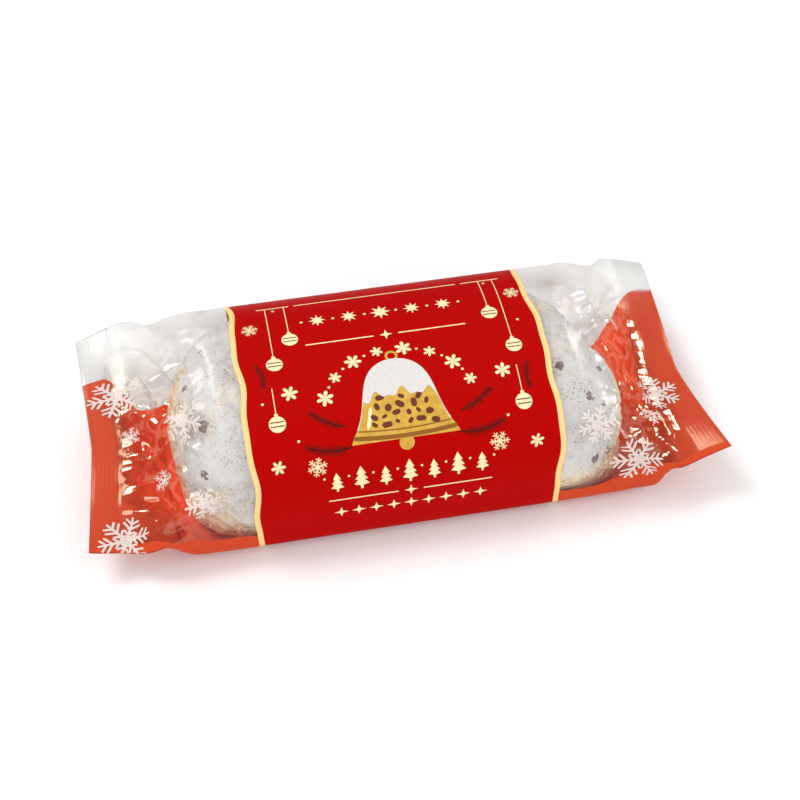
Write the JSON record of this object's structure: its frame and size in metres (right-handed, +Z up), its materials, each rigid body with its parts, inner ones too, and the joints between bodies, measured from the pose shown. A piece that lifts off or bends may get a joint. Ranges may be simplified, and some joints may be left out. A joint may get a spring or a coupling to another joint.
{
  "type": "packed stollen",
  "caption": "Small icing-sugared fruit loaf sealed in a pillow pack of clear printed film, lying flat with two crimped end seals.",
  "frame": {"origin": "under the middle of the pack, on the surface that it lies on", "axes": "+X along the loaf towards the right-hand seal, +Z up, -Y the long side shown in front"},
  "size_m": [0.2012, 0.0936, 0.0466],
  "materials": {
    "film": "glossy"
  },
  "bodies": {
    "root": {"pack": "film"}
  },
  "joints": []
}
